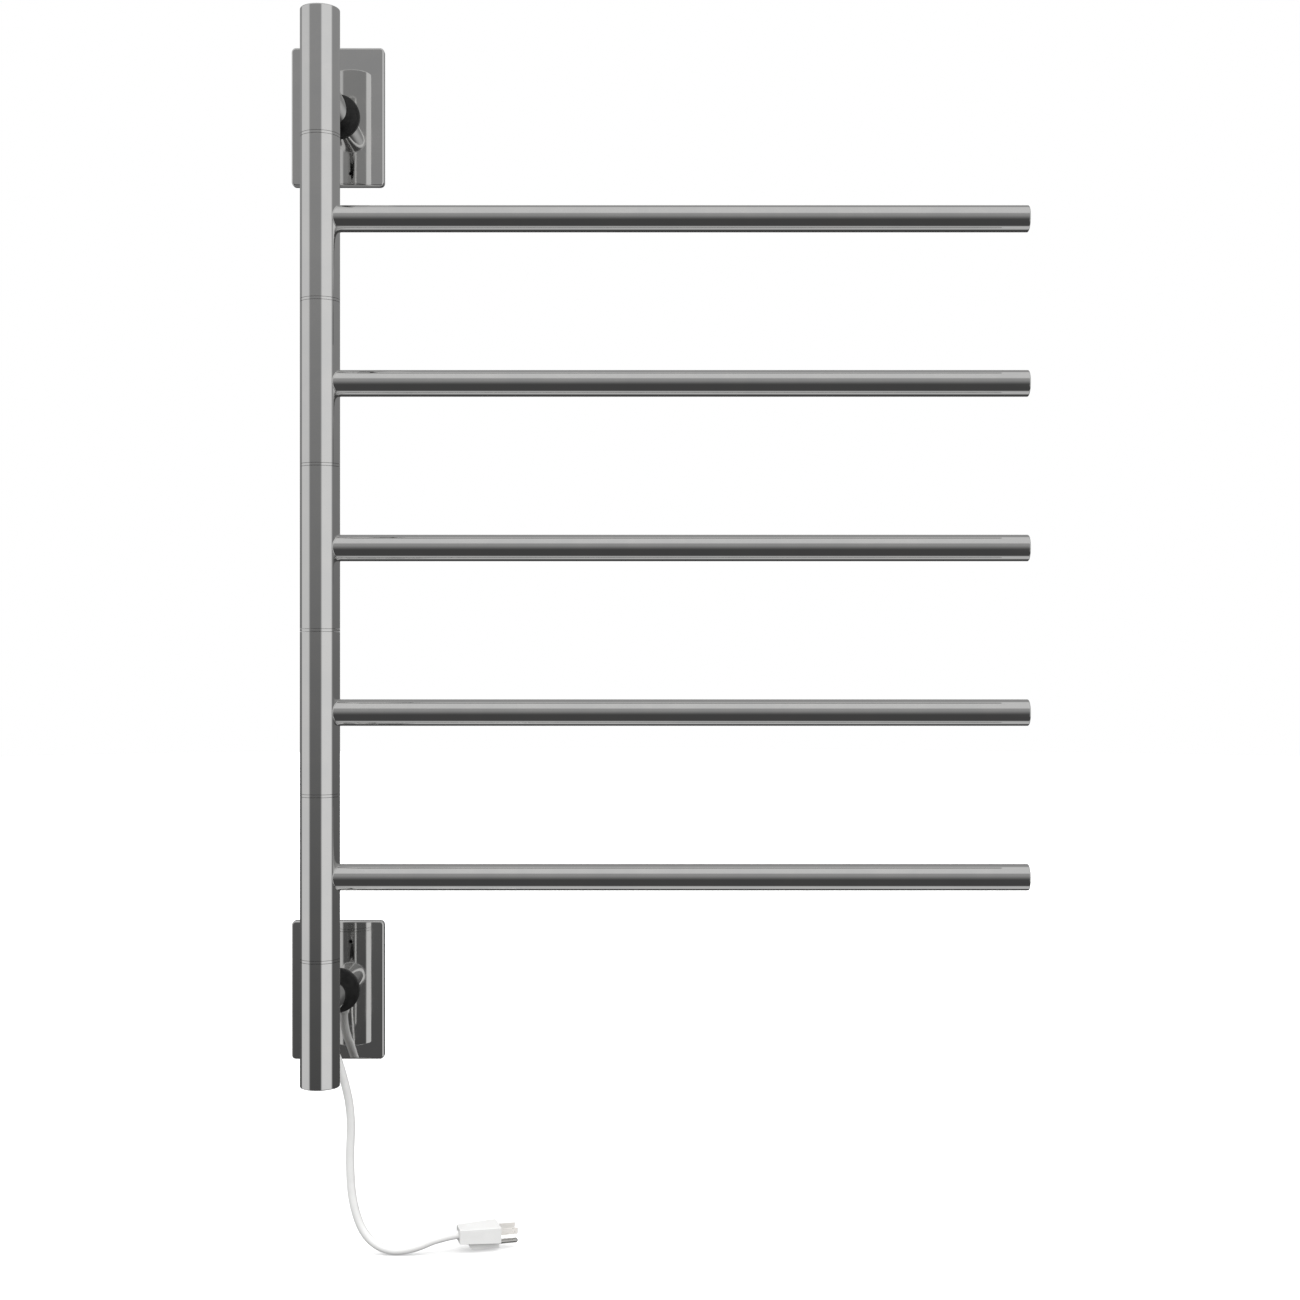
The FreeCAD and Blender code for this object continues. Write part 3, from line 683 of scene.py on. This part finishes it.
# ---- set screws ---------------------------------------------------------
# Four socket set screws of blackened steel clamp the post's ends to its core
# and the stubs to their spigots.
black_oxide = finish("black_oxide", (0.020, 0.020, 0.022), (0.05, 0.05, 0.055), (0.30, 0.48),
                     metallic=0.8, patch=400, grain=4000, relief=0.00002, strength=0.4)
refinish(black_oxide, "set_screws")

# ---- inside the post ----------------------------------------------------
# The core is bare drawn steel tube. Nylon bushes run on it, and a harness of
# sheathed wires climbs inside it to every arm.
drawn_steel = finish("drawn_steel", (0.42, 0.42, 0.42), (0.58, 0.57, 0.55), (0.25, 0.42),
                     metallic=1.0, patch=60, grain=700, relief=0.00002, stretch=(1, 1, 0.06))
refinish(drawn_steel, "core_tube")
nylon = finish("natural_nylon", (0.74, 0.71, 0.62), (0.82, 0.80, 0.73), (0.35, 0.50),
               patch=120, grain=1800, relief=0.00004)
wire_jacket = finish("wire_jacket", (0.60, 0.56, 0.50), (0.78, 0.74, 0.68), (0.45, 0.65),
                     patch=700, grain=2400, relief=0.00010, strength=0.6, relief_from="Specks")
refinish(wire_jacket, "core_wiring")

# ---- inside the bars ----------------------------------------------------
# A heating rod of drawn stainless sheath lies in each bar, centred by three
# collets, and two wires lead from it into the post.
heater_sheath = finish("heater_sheath", (0.36, 0.30, 0.24), (0.58, 0.53, 0.46), (0.25, 0.45),
                       metallic=1.0, patch=45, grain=900, relief=0.00002, stretch=(0.15, 1, 1))
for number in range(1, 6):
    refinish(nylon, "arm_%d_bushes" % number)
    refinish(heater_sheath, "arm_%d_heater" % number)
    refinish(wire_jacket, "arm_%d_leads" % number)

# ---- supply end ---------------------------------------------------------
# In the post's foot a moulded terminal block joins the cord to the harness,
# and an aluminium-cased thermal cut-out stands on the cap below it.
block_plastic = finish("block_plastic", (0.72, 0.71, 0.67), (0.80, 0.79, 0.76), (0.40, 0.55),
                       patch=150, grain=1500, relief=0.00005, strength=0.3)
cutout_can = finish("cutout_can", (0.60, 0.60, 0.61), (0.75, 0.75, 0.76), (0.22, 0.38),
                    metallic=1.0, patch=200, grain=1500, relief=0.00002, stretch=(1, 1, 0.1))
refinish(block_plastic, "terminal_block")
refinish(cutout_can, "thermal_cutout")

# ---- floor --------------------------------------------------------------
# A plain pale floor, just under the cord and the plug that lie on it.
FLOOR_GAP = 0.0006
FLOOR_R = 9
floor_z = cad_box[0][2] - FLOOR_GAP
bpy.ops.object.select_all(action="DESELECT")
bpy.ops.mesh.primitive_circle_add(vertices=96, radius=FLOOR_R, fill_type="NGON",
                                  location=(0.3, 0, floor_z))
bpy.ops.object.transform_apply()
floor = bpy.context.object
floor.name = "studio_floor"
floor.visible_glossy = False
floor.visible_diffuse = False
pale_floor = finish("pale_floor", (0.93, 0.93, 0.93), (0.95, 0.95, 0.95), (0.7, 0.8),
                    patch=3, grain=60, relief=0.0001, strength=0.05)
floor_paint = pale_floor.node_tree.nodes["Principled BSDF"].inputs
floor_paint["Specular IOR Level"].default_value = 0
floor_paint["Emission Color"].default_value = (1, 1, 1, 1)
floor_paint["Emission Strength"].default_value = 0.35
floor.data.materials.append(pale_floor)

# ---- studio light -------------------------------------------------------
# A plain white studio. Soft light falls from all round, most from above. The
# metal mirrors walls that pale upwards, a pale ceiling, two broad soft boxes and
# a glow from the floor. Angles are in degrees from the camera's side of the room.
WALL_LOW, WALL_HIGH = 0.06, 0.30
LEFT_BOX, LEFT_FROM, LEFT_TO = 0.6, -110, -60
RIGHT_BOX, RIGHT_FROM, RIGHT_TO = 0.7, 25, 75
FLOOR_GLOW, FLOOR_FROM, FLOOR_TO = 0.5, -110, -85
CEILING, CEILING_FROM, CEILING_TO = 0.6, 45, 100
BOX_EDGE = 14
SOFT_LOW, SOFT_HIGH = 0.50, 3.3
SOFT_BEHIND, SOFT_BEFORE = 0.06, 0.86
SOFT_RIGHT_GAIN = 0.12
scene.view_settings.view_transform = "Standard"
world = bpy.data.worlds.new("studio")
scene.world = world
world.use_nodes = True
tree = world.node_tree
tree.nodes.clear()


def node(kind, links=(), **settings):
    """A node of the room's shader, with its inputs linked or set."""
    made = tree.nodes.new(kind)
    for key, value in settings.items():
        setattr(made, key, value)
    for key, value in links:
        if isinstance(value, bpy.types.NodeSocket):
            tree.links.new(value, made.inputs[key])
        else:
            made.inputs[key].default_value = value
    return made


def maths(operation, a, b=0.0):
    """One sum of two values."""
    return node("ShaderNodeMath", ((0, a), (1, b)), operation=operation).outputs[0]


def rise_between(value, low, high):
    """0 below low, 1 above high, smooth between; with low above high it falls."""
    return node("ShaderNodeMapRange", (("Value", value), ("From Min", low), ("From Max", high)),
                interpolation_type="SMOOTHSTEP").outputs["Result"]


def mixed(share, one, other):
    """One brightness fading into another."""
    made = node("ShaderNodeMix", (), data_type="FLOAT")
    for key, value in ((0, share), (2, one), (3, other)):
        if isinstance(value, bpy.types.NodeSocket):
            tree.links.new(value, made.inputs[key])
        else:
            made.inputs[key].default_value = value
    return made.outputs[0]


look = node("ShaderNodeTexCoord")
parts = node("ShaderNodeSeparateXYZ", ((0, look.outputs["Generated"]),))
right, back, up = parts.outputs
front = maths("MULTIPLY", back, -1)
roll = maths("ARCTAN2", up, front)
turn = maths("ARCTAN2", right, front)


def soft_box(under, value, angle, start, end):
    """A broad light across the room between two angles in degrees, with soft edges."""
    fade_in = rise_between(angle, math.radians(start - BOX_EDGE), math.radians(start))
    fade_out = rise_between(angle, math.radians(end + BOX_EDGE), math.radians(end))
    return mixed(maths("MULTIPLY", fade_in, fade_out), under, value)


walls = mixed(rise_between(up, -0.35, 0.45), WALL_LOW, WALL_HIGH)
lit_round = soft_box(walls, LEFT_BOX, turn, LEFT_FROM, LEFT_TO)
lit_round = soft_box(lit_round, RIGHT_BOX, turn, RIGHT_FROM, RIGHT_TO)
lit_over = soft_box(walls, FLOOR_GLOW, roll, FLOOR_FROM, FLOOR_TO)
lit_over = soft_box(lit_over, CEILING, roll, CEILING_FROM, CEILING_TO)
to_side = rise_between(maths("ABSOLUTE", right), 0.17, 0.30)
level = rise_between(maths("ABSOLUTE", up), 0.60, 0.38)
room = mixed(maths("MULTIPLY", to_side, level), lit_over, lit_round)

paths = node("ShaderNodeLightPath")
soft_light = mixed(rise_between(up, -0.1, 1.0), SOFT_LOW, SOFT_HIGH)
before = mixed(rise_between(back, 0.5, -0.3), SOFT_BEHIND, SOFT_BEFORE)
soft_light = maths("MULTIPLY", soft_light, before)
sideways = maths("ADD", maths("MULTIPLY", right, SOFT_RIGHT_GAIN), 1.0)
soft_light = maths("MULTIPLY", soft_light, sideways)
shown = mixed(paths.outputs["Is Glossy Ray"], soft_light, room)
shown = mixed(paths.outputs["Is Camera Ray"], shown, 1.0)
glow = node("ShaderNodeBackground", (("Strength", shown),))
glow.inputs["Color"].default_value = (1, 1, 1, 1)
node("ShaderNodeOutputWorld", ((0, glow.outputs[0]),))
